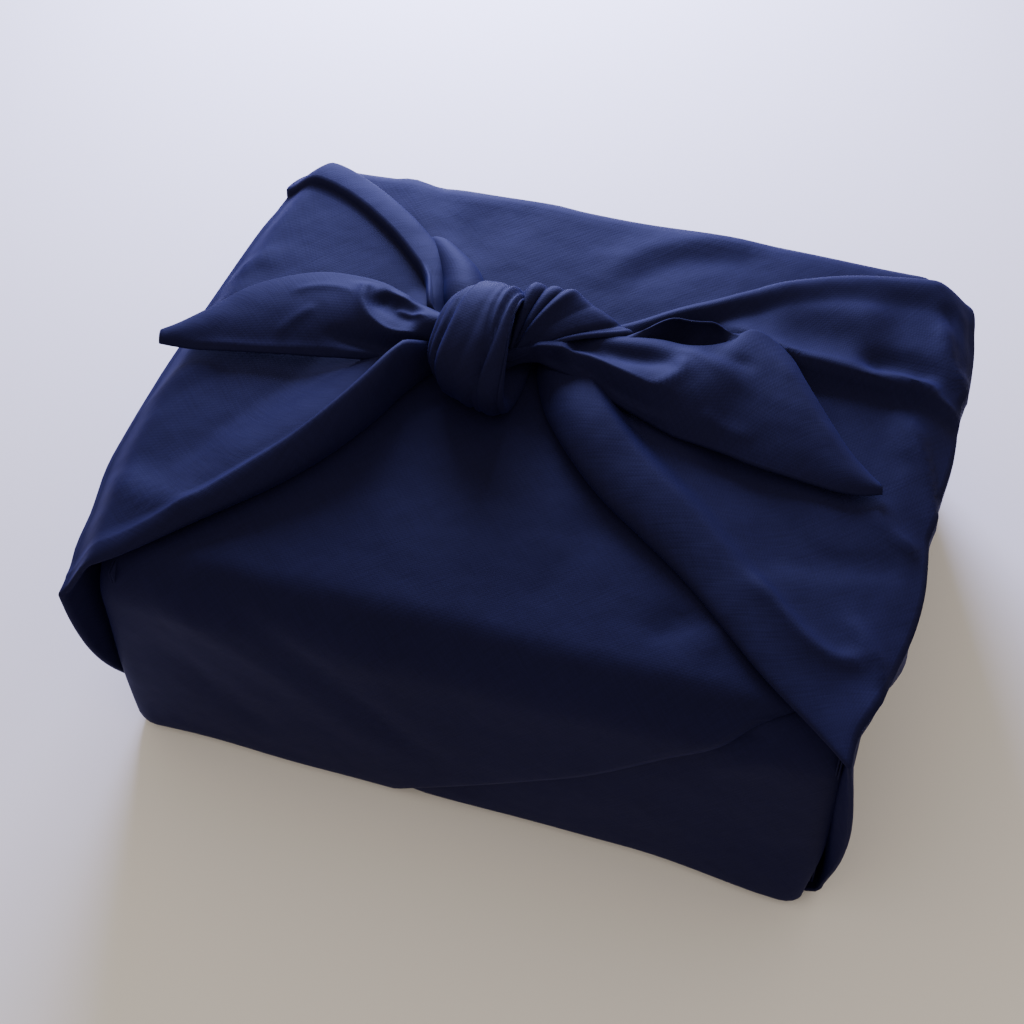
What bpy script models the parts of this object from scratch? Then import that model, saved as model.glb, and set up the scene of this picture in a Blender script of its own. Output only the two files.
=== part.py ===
"""A furoshiki wrap: one square cotton cloth folded round a flat box and tied on top in a square knot.

Metres, +Z up. The origin is in the middle of the flat underside, +X runs along the long side and -Y is
the front. The sizes and tables below are in millimetres.
"""

import math
from collections import namedtuple

import bmesh
import bpy
import numpy as np

MM = 0.001

# The box inside its layers
WIDTH = 350.0
FRONT_HEIGHT = 131.0
BACK_HEIGHT = 134.5  # the layers lie thicker towards the back
FRONT_Y = -142.0
BACK_Y = 146.0
# A row for each long edge, in order round the box from the back of the ground
Edge = namedtuple("Edge", "y z radius start_angle")
EDGES = (
    Edge(BACK_Y, 0, 6, 0),
    Edge(FRONT_Y, 0, 5, -90),
    Edge(FRONT_Y, FRONT_HEIGHT, 12, -180),
    Edge(BACK_Y, BACK_HEIGHT, 8, -270),
)
END_REACH = 10.0  # the rounding of the upright edges, along the side and across it
END_INSET = 4.5
FRONT_BULGE = 2.5
TOP_BULGE = 1.5
LEFT_FRONT_INSET = 10.0  # how far the front panel is drawn in beside the left ear
GRID_STEP = 10.0

# The cloth
SHEET = 2.4  # a free end's two layers
HEM_STEP = 2.0  # the outer layer's edge stands this proud of the front
EAR_SHEET = 3.0  # a side flap's thickness along its standing borders
ANCHOR_DEPTH = 9.0  # how far a fold's inner side runs into the bundle
FLAP_LIFT = 1.0
PROFILE_TURNS = (0, 30, 60, 90)  # steps round a box edge, in degrees

# One row for each side flap border. foot: where it leaves the ground edge; corner: at the box corner;
# knot: where it enters the knot; bow: how far it curves out of the straight line on the top; side_bow: the
# same on the side.
Border = namedtuple("Border", "foot corner knot bow side_bow")
# Sizes of a flap at the box corner and at the knot: width and height of its front and back rolls,
# height of its middle, and depth of its pleats.
Gather = namedtuple("Gather", "front_width front_height back_width back_height crown pleat")
# hold: the share of the front and of the back roll's height that carries on into the middle
Flap = namedtuple("Flap", "side front back bulge at_corner at_knot hold pleats")

FLAPS = {
    "left": Flap(
        side=-1,
        front=Border((-178, -124, 12), (-181, -147, 126), (-48, -6), 4, 9),
        back=Border((-178, 130, 12), (-177, 145, 127), (-50, 70), 6, 2),
        bulge=8,
        at_corner=Gather(22, 3, 24, 6, 1, 0),
        at_knot=Gather(26, 19, 27, 14, 3, 2),
        hold=(0.75, 0.15),
        pleats=3,
    ),
    "right": Flap(
        side=1,
        front=Border((179, -137, 12), (175, -143, 126), (-8, 12), -4, 6),
        back=Border((180, 132, 12), (179, 144, 128), (22, 64), 11, 2),
        bulge=14,
        at_corner=Gather(28, 4, 30, 5, 2, 0),
        at_knot=Gather(27, 15, 22, 13, 3, 2),
        hold=(0.35, 0.4),
        pleats=3,
    ),
}
SIDE_STATIONS = (0.0, 0.2, 0.4, 0.6, 0.8, 0.93)
TOP_STATIONS = (0.0, 0.03, 0.07, 0.13, 0.2, 0.28, 0.37, 0.46, 0.55, 0.64, 0.73, 0.82, 0.91, 1.0)
ROLL_COLUMNS = 7
MIDDLE_COLUMNS = 14
INNER_COLUMNS = 5

# The pleat that crosses the right flap to the notch at its outer edge
PLEAT = dict(start=(66, 82), end=(192, 56), width=21, height=7)

# A row for each section of a gathered lobe: its centre, its half width and its half height
Ring = namedtuple("Ring", "x y z wide high")
LOBES = {
    "wrap": dict(
        pleats=6,
        depth=1.3,
        rings=(
            Ring(-28, 2, 126, 17, 9),
            Ring(-29, 1, 138, 20, 11),
            Ring(-31, 6, 152, 22, 12),
            Ring(-34, 22, 163, 22, 12),
            Ring(-34, 37, 161, 21, 12),
            Ring(-34, 48, 149, 20, 11),
            Ring(-35, 52, 132, 17, 10),
        ),
    ),
    "fan": dict(
        pleats=5,
        depth=1.5,
        rings=(
            Ring(-20, 12, 144, 10, 9),
            Ring(-12, 24, 153, 15, 11),
            Ring(-4, 38, 157, 19, 12),
            Ring(3, 51, 150, 20, 12),
            Ring(8, 60, 136, 18, 10),
            Ring(9, 62, 124, 15, 8),
        ),
    ),
    "left_root": dict(
        pleats=4,
        depth=1.0,
        rings=(
            Ring(-26, 20, 146, 20, 13),
            Ring(-50, 28, 148, 19, 12),
            Ring(-66, 31, 149, 15, 7),
            Ring(-80, 30, 152, 8, 3),
        ),
    ),
    "right_root": dict(
        pleats=4,
        depth=1.0,
        rings=(
            Ring(-22, 20, 146, 18, 13),
            Ring(0, 27, 148, 17, 12),
            Ring(18, 31, 149, 15, 8),
            Ring(36, 33, 152, 9, 3),
        ),
    ),
    "heart": dict(
        pleats=1,
        depth=0.0,
        rings=(
            Ring(-60, 24, 134, 16, 8),
            Ring(-48, 24, 139, 24, 12),
            Ring(-30, 28, 142, 24, 14),
            Ring(-10, 32, 140, 22, 12),
            Ring(6, 38, 136, 15, 8),
        ),
    ),
    "back_leaf": dict(
        pleats=1,
        depth=0.0,
        rings=(
            Ring(-82, 98, 134, 5, 4),
            Ring(-74, 90, 138, 11, 6),
            Ring(-62, 76, 142, 14, 8),
            Ring(-50, 58, 144, 13, 9),
            Ring(-40, 42, 144, 11, 8),
        ),
    ),
}
LOBE_SIDES = 20
LOBE_STEPS = 3

# A row for each section of a free end: its middle, its half width, how far the middle arches up and its tilt
# (degrees, the back edge up)
Leaf = namedtuple("Leaf", "x y z half arch tilt")
TAILS = {
    "left_tail": (
        Leaf(-50, 28, 149, 12, 6, 10),
        Leaf(-68, 29, 150, 17, 8, 18),
        Leaf(-88, 27, 149, 20, 8, 18),
        Leaf(-110, 26, 148, 23, 6, 14),
        Leaf(-132, 22, 147, 23, 4, 10),
        Leaf(-152, 14, 146, 18, 3, 6),
        Leaf(-174, 5, 145, 12, 2, 4),
        Leaf(-196, -3, 144, 5, 0, 2),
    ),
    "right_tail": (
        Leaf(2, 29, 150, 11, 5, 8),
        Leaf(22, 31, 151, 16, 7, 14),
        Leaf(44, 35, 150, 23, 8, 16),
        Leaf(66, 36, 149, 30, 7, 15),
        Leaf(88, 31, 147, 31, 5, 12),
        Leaf(110, 23, 145, 25, 4, 8),
        Leaf(134, 11, 142, 16, 3, 5),
        Leaf(162, -1, 139, 5, 0, 3),
    ),
}
TAIL_COLUMNS = 14
TAIL_STEPS = 2

# The slanted raw edge of the outer layer on the front, as x and z
RAW_EDGE = ((150, 118), (140, 114), (128, 108), (104, 90), (78, 70), (52, 53), (20, 34), (-10, 18))
RAW_EDGE_TAPER = 45.0
FLUSH_GAP = 0.4  # the wedge's far side lies this deep in the front


def clear_scene():
    for obj in list(bpy.data.objects):
        bpy.data.objects.remove(obj)


def spline(rows, steps):
    """Rows along a Catmull-Rom curve through the given rows, with this many steps between two of them."""
    rows = np.array(rows, float)
    padded = np.vstack([2 * rows[0] - rows[1], rows, 2 * rows[-1] - rows[-2]])
    out = []
    for a, b, c, d in zip(padded, padded[1:], padded[2:], padded[3:]):
        for t in np.arange(steps) / steps:
            out.append(b + 0.5 * t * (c - a + t * (2 * a - 5 * b + 4 * c - d + t * (3 * (b - c) + d - a))))
    out.append(rows[-1])
    return np.array(out)


def smooth_step(value):
    t = min(max(value, 0.0), 1.0)
    return t * t * (3 - 2 * t)


def mix(a, b, t):
    return a + (b - a) * t


def loft(name, loops, collection):
    """A closed body through these loops of points, all with the same number of points."""
    mesh = bpy.data.meshes.new(name)
    bm = bmesh.new()
    rings = [[bm.verts.new(np.array(p) * MM) for p in loop] for loop in loops]
    for ring, following in zip(rings, rings[1:]):
        for i in range(len(ring)):
            j = (i + 1) % len(ring)
            bm.faces.new((ring[i], ring[j], following[j], following[i]))
    bm.faces.new(rings[0][::-1])
    bm.faces.new(rings[-1])
    bmesh.ops.recalc_face_normals(bm, faces=bm.faces)
    bm.to_mesh(mesh)
    bm.free()
    obj = bpy.data.objects.new(name, mesh)
    collection.objects.link(obj)
    return obj


def panel_height(y):
    """The height of the top panel, which rises from front to back."""
    return mix(FRONT_HEIGHT, BACK_HEIGHT, (y - FRONT_Y) / (BACK_Y - FRONT_Y))


def front_swell(x, z):
    return FRONT_BULGE * math.cos(math.pi * x / WIDTH) * math.sin(math.pi * min(max(z / FRONT_HEIGHT, 0), 1))


def ear_inset(x, y, z):
    """How far the front panel's upper left corner is drawn in."""
    upper, front, left = smooth_step((z - 40) / 75), smooth_step((-y - 60) / 80), smooth_step((-x - 110) / 65)
    return LEFT_FRONT_INSET * upper * front * left


def box_profile():
    """Points (y, z, outward y, outward z) once round the bundle, seen from its end."""
    arcs = []
    for edge in EDGES:
        centre_y = edge.y - math.copysign(edge.radius, edge.y)
        centre_z = edge.z + edge.radius if edge.z == 0 else edge.z - edge.radius
        arc = []
        for turn in PROFILE_TURNS:
            angle = math.radians(edge.start_angle - turn)
            out_y, out_z = math.cos(angle), math.sin(angle)
            arc.append((centre_y + edge.radius * out_y, centre_z + edge.radius * out_z, out_y, out_z))
        arcs.append(arc)
    points = []
    for arc, following in zip(arcs, arcs[1:] + arcs[:1]):
        points += arc
        end, begin = np.array(arc[-1]), np.array(following[0])
        count = max(1, round(np.linalg.norm(begin[:2] - end[:2]) / GRID_STEP))
        points += [tuple(mix(end, begin, i / count)) for i in range(1, count)]
    return points


def wrapped_box(collection):
    """The bundle without its side flaps: front, top and back panel, a little crowned over the box."""
    profile = box_profile()
    inner = WIDTH / 2 - END_REACH
    count = round(2 * inner / GRID_STEP)
    stations = [(inner * (2 * i / count - 1), 0.0) for i in range(count + 1)]
    for turn in PROFILE_TURNS[1:]:
        angle = math.radians(turn)
        reach = inner + END_REACH * math.sin(angle)
        inset = END_INSET * (1 - math.cos(angle))
        stations = [(-reach, inset)] + stations + [(reach, inset)]
    loops = []
    for x, inset in stations:
        loop = []
        for y, z, out_y, out_z in profile:
            crown = TOP_BULGE * math.cos(math.pi * x / WIDTH) * math.cos(math.pi * y / (BACK_Y - FRONT_Y))
            swell = front_swell(x, z) * abs(out_y) + crown * max(out_z, 0)
            shift = ear_inset(x, y, z)
            loop.append((x + shift, y + out_y * (swell - inset), z + out_z * (swell - inset)))
        loops.append(loop)
    return loft("furoshiki_cloth", loops, collection)


def front_layer(collection):
    """The outer layer of the front: a wedge that is thickest along its slanted raw edge."""
    sunk = FRONT_Y + ANCHOR_DEPTH
    loops = []
    for x, z in RAW_EDGE:
        far = x - RAW_EDGE_TAPER
        proud = FRONT_Y - front_swell(x, z) - HEM_STEP
        flush = FRONT_Y - front_swell(far, z) + FLUSH_GAP
        loops.append([(x, proud, z), (far, flush, z), (far, sunk, z), (x, sunk, z)])
    return loft("front_layer", loops, collection)


def roll_height(distance, width, height, hold):
    """A rolled border's height at a distance from its edge: round outside, and held up inside by hold."""
    radius = width / 2
    if distance < radius:
        return height * math.sqrt(max(0.0, 1 - (1 - distance / radius) ** 2))
    fall = mix(1, hold, 1 - math.sqrt(max(0.0, 1 - min(distance / radius - 1, 1) ** 2)))
    return height * fall * (1 - smooth_step((distance - width) / (4 * width)))


def fold_height(x, y, fold):
    """The height that a straight fold adds at x, y."""
    start, end, point = np.array(fold["start"]), np.array(fold["end"]), np.array((x, y))
    run = end - start
    t = min(max(np.dot(point - start, run) / np.dot(run, run), 0), 1)
    away = np.linalg.norm(point - start - t * run) / fold["width"]
    return fold["height"] * smooth_step(1 - away) * smooth_step(4 * t)


def column_shares(front_share, back_share):
    """Places across a flap, from its front border to its back one, with the rolls' edges among them."""
    front = [front_share * (0.5 - 0.5 * math.cos(math.pi * i / ROLL_COLUMNS)) for i in range(ROLL_COLUMNS)]
    middle = [mix(front_share, back_share, i / MIDDLE_COLUMNS) for i in range(MIDDLE_COLUMNS)]
    back = [
        mix(back_share, 1, 0.5 - 0.5 * math.cos(math.pi * i / ROLL_COLUMNS)) for i in range(ROLL_COLUMNS + 1)
    ]
    return front + middle + back


def tucked_under(flap):
    """The first loop of a flap: where it turns in below the box, inside the bundle."""
    inside = np.array((-flap.side * ANCHOR_DEPTH * 1.5, 0, -flap.front.foot[2] + 1))
    front, back = (np.array(border.foot, float) + inside for border in (flap.front, flap.back))
    outer = [mix(front, back, s) for s in column_shares(0.1, 0.9)]
    inner = [mix(front, back, i / INNER_COLUMNS) for i in range(INNER_COLUMNS + 1)]
    lift = np.array((-flap.side * EAR_SHEET, 0, EAR_SHEET))
    return outer + [point + lift for point in inner[::-1]]


def border_point(border, side_part, top_part):
    """A border's place: side_part of the way up the side, or top_part of the way over the top."""
    corner = np.array(border.corner, float)
    outward = math.copysign(1, corner[1])
    if top_part is None:
        point = mix(np.array(border.foot, float), corner, side_part)
        point[1] += outward * border.side_bow * math.sin(math.pi * side_part)
        return point
    knot = np.array(border.knot, float)
    x, y = mix(corner[:2], knot, top_part)
    run = (knot - corner[:2]) / np.linalg.norm(knot - corner[:2])
    arch = border.bow * 4 * top_part * (1 - top_part) * outward * math.copysign(1, run[0])
    x, y = x - run[1] * arch, y + run[0] * arch
    z = mix(corner[2], panel_height(y) + FLAP_LIFT, smooth_step(top_part / 0.08))
    return np.array((x, y, z))


def side_flap(name, collection):
    """A side of the cloth: up the side of the box, over its top edge and drawn together to the knot."""
    flap = FLAPS[name]
    stations = [(part, None) for part in SIDE_STATIONS] + [(None, part) for part in TOP_STATIONS]
    loops = [tucked_under(flap)]
    for side_part, top_part in stations:
        front = border_point(flap.front, side_part, top_part)
        back = border_point(flap.back, side_part, top_part)
        on_top = top_part is not None
        lean = math.radians(90 * smooth_step(mix(0.5, 1, top_part / 0.1))) if on_top else 0.0
        if not on_top:
            lean = math.radians(90 * 0.5 * smooth_step((side_part - 0.8) / 0.2))
        out = np.array((flap.side * math.cos(lean), 0, math.sin(lean)))
        drawn = smooth_step(top_part) if on_top else 0.0
        gather = Gather(*(mix(a, b, drawn) for a, b in zip(flap.at_corner, flap.at_knot)))
        swollen = 1 - smooth_step(top_part / 0.25) if on_top else smooth_step(side_part / 0.8)
        middle_height = gather.crown + flap.bulge * swollen
        width = np.linalg.norm(back - front)
        front_share, back_share = gather.front_width / width, 1 - gather.back_width / width
        outer, inner = [], []
        for s in column_shares(front_share, back_share):
            base = mix(front, back, s)
            height = middle_height * math.sin(math.pi * s) ** 0.8
            front_roll = roll_height(s * width, gather.front_width, gather.front_height, flap.hold[0])
            back_roll = roll_height((1 - s) * width, gather.back_width, gather.back_height, flap.hold[1])
            height += max(front_roll, back_roll) * (1 if on_top else side_part**2)
            if on_top:
                middle = (s - front_share) / (back_share - front_share)
                if 0 < middle < 1:
                    height += gather.pleat * math.sin(2 * math.pi * flap.pleats * middle)
                if flap.side > 0:
                    height += fold_height(base[0], base[1], PLEAT)
            outer.append(base + out * height)
        for i in range(INNER_COLUMNS + 1):
            s = i / INNER_COLUMNS
            height = middle_height * math.sin(math.pi * s) ** 0.8
            depth = ANCHOR_DEPTH if on_top or 0 < i < INNER_COLUMNS else EAR_SHEET
            inner.append(mix(front, back, s) - out * depth)
        loops.append(outer + inner[::-1])
    return loft(name + "_flap", loops, collection)


def lobe(name, collection):
    """A gathered lobe of the knot: a swept oval with pleats along it."""
    shape = LOBES[name]
    rows = spline(shape["rings"], LOBE_STEPS)
    centres = rows[:, :3]
    runs = np.gradient(centres, axis=0)
    loops = []
    for centre, run, (wide, high) in zip(centres, runs, rows[:, 3:]):
        run = run / np.linalg.norm(run)
        side = np.cross(run, (0, 0, 1)) if abs(run[2]) < 0.95 else np.cross(run, (0, 1, 0))
        side /= np.linalg.norm(side)
        rise = np.cross(side, run)
        loop = []
        for i in range(LOBE_SIDES):
            angle = 2 * math.pi * i / LOBE_SIDES
            swell = 1 + shape["depth"] / wide * math.cos(shape["pleats"] * 2 * angle)
            loop.append(centre + swell * (side * wide * math.cos(angle) + rise * high * math.sin(angle)))
        loops.append(loop)
    return loft(name, loops, collection)


def tail(name, collection):
    """A free end of the tie: a thin leaf, arched across, that ends in a blunt tip."""
    rows = spline(TAILS[name], TAIL_STEPS)
    centres = rows[:, :3]
    runs = np.gradient(centres, axis=0)
    loops = []
    for centre, run, (half, arch, tilt) in zip(centres, runs, rows[:, 3:]):
        run[2] = 0
        run /= np.linalg.norm(run)
        across = np.array((-run[1], run[0], 0))
        if across[1] < 0:
            across = -across
        slope = math.radians(tilt)
        over = across * math.cos(slope) + np.array((0, 0, math.sin(slope)))
        rise = np.array((0, 0, math.cos(slope))) - across * math.sin(slope)
        upper, lower = [], []
        for i in range(TAIL_COLUMNS + 1):
            s = 2 * i / TAIL_COLUMNS - 1
            middle = centre + over * half * s + rise * arch * (1 - s * s)
            upper.append(middle + rise * SHEET / 2)
            lower.append(middle - rise * SHEET / 2)
        loops.append(upper + lower[::-1])
    return loft(name, loops, collection)


def keep_outer_shell(obj):
    """Applies the modifiers and drops the sealed pockets that lie between the folds."""
    graph = bpy.context.evaluated_depsgraph_get()
    mesh = bpy.data.meshes.new_from_object(obj.evaluated_get(graph))
    obj.modifiers.clear()
    bm = bmesh.new()
    bm.from_mesh(mesh)
    left, shells = set(bm.verts), []
    while left:
        shell, border = set(), [left.pop()]
        while border:
            vert = border.pop()
            shell.add(vert)
            near = {edge.other_vert(vert) for edge in vert.link_edges} & left
            left -= near
            border += near
        shells.append(shell)
    shells.sort(key=len)
    bmesh.ops.delete(bm, geom=[vert for shell in shells[:-1] for vert in shell], context="VERTS")
    bm.to_mesh(mesh)
    bm.free()
    mesh.name = obj.data.name
    obj.data = mesh


def cloth_material():
    material = bpy.data.materials.new("indigo_cotton")
    material.use_nodes = True
    shader = material.node_tree.nodes["Principled BSDF"]
    shader.inputs["Base Color"].default_value = (0.018, 0.022, 0.105, 1)
    shader.inputs["Roughness"].default_value = 0.85
    shader.inputs["Metallic"].default_value = 0.0
    return material


def main():
    clear_scene()
    scene_collection = bpy.context.scene.collection
    folds = bpy.data.collections.new("folds")
    scene_collection.children.link(folds)
    cloth = wrapped_box(scene_collection)
    front_layer(folds)
    for name in FLAPS:
        side_flap(name, folds)
    for name in LOBES:
        lobe(name, folds)
    for name in TAILS:
        tail(name, folds)
    for piece in folds.objects:
        piece.hide_render = True
        piece.display_type = "WIRE"
    union = cloth.modifiers.new("join the folds", "BOOLEAN")
    union.operation = "UNION"
    union.operand_type = "COLLECTION"
    union.collection = folds
    union.solver = "MANIFOLD"  # EXACT leaves edges where the folds touch themselves
    keep_outer_shell(cloth)
    cloth.data.materials.append(cloth_material())
    cloth.data.shade_smooth()
    cloth.data.set_sharp_from_angle(angle=math.radians(50))


main()
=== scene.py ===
import math

import bmesh
import bpy
import numpy as np
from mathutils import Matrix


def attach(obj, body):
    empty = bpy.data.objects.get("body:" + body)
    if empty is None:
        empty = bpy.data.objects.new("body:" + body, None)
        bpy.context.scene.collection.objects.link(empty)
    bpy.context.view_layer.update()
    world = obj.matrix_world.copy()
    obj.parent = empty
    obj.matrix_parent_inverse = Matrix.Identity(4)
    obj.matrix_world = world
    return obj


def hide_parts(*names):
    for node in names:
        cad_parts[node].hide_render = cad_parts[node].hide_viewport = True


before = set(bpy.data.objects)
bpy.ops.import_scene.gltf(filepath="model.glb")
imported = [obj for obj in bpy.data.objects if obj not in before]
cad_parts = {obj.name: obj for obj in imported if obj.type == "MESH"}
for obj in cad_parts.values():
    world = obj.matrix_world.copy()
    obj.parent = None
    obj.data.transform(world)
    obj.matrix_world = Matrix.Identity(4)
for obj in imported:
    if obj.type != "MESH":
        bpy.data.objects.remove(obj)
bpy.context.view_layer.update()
mm = 0.001  # the tables below are in millimetres
print("frame loaded:", *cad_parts)


# the camera stands in front of the wrap's long side, looking down at it
camera = {
    "azimuth": 20.918, "elevation": 52.974, "roll": -4.167,  # degrees
    "target": (0, 0, 45), "distance": 832.6, "across": -15.9, "up": 9.21,
    "lens": 56.25, "sensor": 36,
}


def makeCamera(values):
    azimuth, elevation, roll = (math.radians(values[name]) for name in ("azimuth", "elevation", "roll"))
    back = np.array((
        math.sin(azimuth) * math.cos(elevation),
        -math.cos(azimuth) * math.cos(elevation),
        math.sin(elevation),
    ))
    level = np.cross(-back, (0, 0, 1))
    level /= np.linalg.norm(level)
    upright = np.cross(level, -back)
    right = math.cos(roll) * level + math.sin(roll) * upright
    up = math.cos(roll) * upright - math.sin(roll) * level
    place = np.array(values["target"]) + back * values["distance"]
    place += right * values["across"] + up * values["up"]
    data = bpy.data.cameras.new("camera")
    data.lens, data.sensor_width = values["lens"], values["sensor"]
    obj = bpy.data.objects.new("camera", data)
    bpy.context.scene.collection.objects.link(obj)
    for column, vector in enumerate((right, up, back, place * mm)):
        for row in range(3):
            obj.matrix_world[row][column] = vector[row]
    bpy.context.scene.camera = obj


makeCamera(camera)


# small helpers for curves, soft steps and folds
def softStep(value):
    t = np.clip(value, 0.0, 1.0)
    return t * t * (3 - 2 * t)


def ramp(value, start, end):
    # rises softly from 0 at start to 1 at end
    return softStep((value - start) / (end - start))


def between(a, b, share):
    return a + (b - a) * share


def curveThrough(points, count):
    # evenly spaced places on a smooth curve through the points
    rows = np.array(points, float)
    ends = np.vstack([2 * rows[0] - rows[1], rows, 2 * rows[-1] - rows[-2]])
    at = np.linspace(0, len(rows) - 1, 24 * (len(rows) - 1) + 1)
    k = np.minimum(at.astype(int), len(rows) - 2)
    t = (at - k)[:, None]
    a, b, c, d = (ends[k + i] for i in range(4))
    fine = b + 0.5 * t * (c - a + t * (2 * a - 5 * b + 4 * c - d + t * (3 * (b - c) + d - a)))
    steps = np.linalg.norm(np.diff(fine[:, :3], axis=0), axis=1)
    run = np.concatenate([[0], np.cumsum(steps)])
    even = np.linspace(0, run[-1], count)
    return np.stack([np.interp(even, run, column) for column in fine.T], axis=1)


def nearestOn(path, u, v):
    # distance to the path, the side of it (1 is its left) and how far along it, 0 to 1
    distance = np.full(u.shape, 1e9)
    side, along = np.zeros(u.shape), np.zeros(u.shape)
    for i, (a, b) in enumerate(zip(path, path[1:])):
        run = b - a
        t = np.clip(((u - a[0]) * run[0] + (v - a[1]) * run[1]) / (run @ run), 0, 1)
        du, dv = u - a[0] - t * run[0], v - a[1] - t * run[1]
        gap = np.hypot(du, dv)
        take = gap < distance
        distance = np.where(take, gap, distance)
        side = np.where(take, np.sign(run[0] * dv - run[1] * du), side)
        along = np.where(take, (i + t) / (len(path) - 1), along)
    return distance, side, along


def foldHeight(u, v, folds):
    # what a list of soft ridges (height above 0) and troughs (below 0) adds at u, v
    # lean widens a fold on the left of its path, crisp sharpens its crest, fade is how far each end runs out
    total = np.zeros(u.shape)
    for fold in folds:
        path = curveThrough(fold["path"], 5 * len(fold["path"]))[:, :2]
        distance, side, along = nearestOn(path, u, v)
        width = fold["width"] * (1 + fold.get("lean", 0) * side)
        shape = np.exp(-((distance / width) ** (2 - fold.get("crisp", 0.3))))
        fade = fold.get("fade", (0.25, 0.25))
        ends = ramp(along, 0, fade[0]) * ramp(along, 1, 1 - fade[1])
        total += fold["height"] * shape * ends
    return total


def unevenness(u, v, size, height, seed):
    # slack in the cloth: long soft waves in all directions
    random = np.random.RandomState(seed)
    total = np.zeros(u.shape)
    waves = 9
    for _ in range(waves):
        angle, phase = random.uniform(0, 2 * math.pi, 2)
        length = size * random.uniform(0.6, 1.7)
        total += np.sin(2 * math.pi * (u * math.cos(angle) + v * math.sin(angle)) / length + phase)
    return height * total / math.sqrt(waves)


# every panel of the cloth is a grid of places, kept here until they are made one mesh
panels = []


def addPanel(places, threads=None, closed=False, flip=False):
    # threads: the place of each grid point on the flat cloth, in mm
    if threads is None:
        along = np.linalg.norm(np.diff(places, axis=0), axis=2).mean(axis=1)
        across = np.linalg.norm(np.diff(places, axis=1), axis=2).mean(axis=0)
        a = np.concatenate([[0], np.cumsum(along)])
        b = np.concatenate([[0], np.cumsum(across)])
        threads = np.stack(np.meshgrid(a, b, indexing="ij"), axis=-1)
    panels.append((places, threads, closed, flip))


# the wrapped box: the cloth goes once and a half round it
box = {
    "width": 350, "frontHeight": 131, "backHeight": 134.5, "front": -142, "back": 146,
    "groundRadius": 6.5, "frontRadius": 24, "backRadius": 9,
    "endReach": 10, "endInset": 4.5,  # rounding of the upright edges
    "wing": (3, 7, 12, 18),  # how far each end's flat part goes in behind them
    "frontBulge": 2.5, "topBulge": 1.5, "endDip": 1.6, "leftInset": 3, "rightFoot": 5,
    "frontLean": 6, "frontFlare": 6, "backInset": 14,
    "slack": 0.35, "slackLength": 90, "groundGap": 0.1,
    "endMiddle": 66, "crownDepth": 300,  # the height the ends are drawn towards, and the top's arch's depth
}

# depth: how far a layer lies inside the box's sizes; endGap: how much shorter its ends are
outerLayer = {
    "step": 5, "columns": 56, "depth": -1.8,
    # the strip tucked under the front: y, where its right side lies, its height and its rows
    "tuck": (-112, -134), "tuckRight": (-62, -42), "tuckHeight": 0.6, "tuckRows": 6,
    "openRows": 10,  # rows over the front's edge that still have no rounded right end
}
innerLayer = {"step": 9, "columns": 32, "depth": 0.4, "endGap": 1.2, "hiddenRows": 8}

topFolds = [  # x and y
    {"path": [(-109, 151), (-94, 134), (-81, 117), (-58, 85)],
     "width": 7, "height": -1.8, "fade": (0.05, 0.2)},
    {"path": [(-124, 148), (-109, 131), (-96, 113), (-74, 84)],
     "width": 8, "height": 1.3, "fade": (0.05, 0.2)},
    {"path": [(-90, 131), (-52, 140), (-18, 146)], "width": 7, "height": 1.0},
    {"path": [(2, 94), (24, 122), (48, 134), (90, 140)], "width": 6, "height": 1.5, "lean": 0.3},
    {"path": [(10, 88), (34, 112), (60, 124), (92, 128)], "width": 8, "height": -1.2},
    {"path": [(44, -38), (41, -56), (36, -83), (30, -110)], "width": 9, "height": -1.2},
    {"path": [(97, -84), (90, -95), (82, -108)], "width": 7, "height": -2.2},
    {"path": [(112, -86), (108, -98), (105, -112)], "width": 6, "height": 1.4},
]

frontFolds = [  # x and z
    {"path": [(-150, 128), (-134, 139), (-104, 122), (-73, 105), (-39, 74), (0, 33)],
     "width": 6, "height": -1.6},
    {"path": [(-160, 126), (-130, 112), (-92, 92), (-55, 64), (-25, 35)], "width": 9, "height": 1.8},
    {"path": [(-150, 90), (-120, 60), (-90, 30)], "width": 12, "height": -1.5},
    {"path": [(90, 81), (116, 104), (134, 121), (146, 138)], "width": 4, "height": -1.8},
    {"path": [(131, 105), (144, 118), (153, 134)], "width": 3.5, "height": -1.9},
    {"path": [(118, 96), (136, 110), (148, 124)], "width": 4, "height": 1.8},
]

backFolds = [  # x and z
    {"path": [(-150, 120), (-110, 90), (-60, 70)], "width": 9, "height": 1.4},
    {"path": [(150, 125), (100, 95), (40, 85)], "width": 10, "height": 1.3},
    {"path": [(140, 110), (95, 75), (50, 30)], "width": 8, "height": -1.2},
    {"path": [(-140, 100), (-100, 60), (-70, 20)], "width": 9, "height": -1.0},
]

# the outer layer's cut edge on the front: x and z, from the tied corner down to the ground
cutEdge = [(140, 131), (133, 124), (124, 115), (105, 100), (75, 76), (53, 60), (13, 34), (-33, 5), (-40, 1)]
underCut = {"path": [(x + 1.5, z - 2) for x, z in cutEdge], "width": 2.2, "height": -2.2}
frontFolds.append(underCut | {"crisp": 0.6, "fade": (0.02, 0.1)})


def panelHeight(y):
    return between(box["frontHeight"], box["backHeight"], (y - box["front"]) / (box["back"] - box["front"]))


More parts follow.
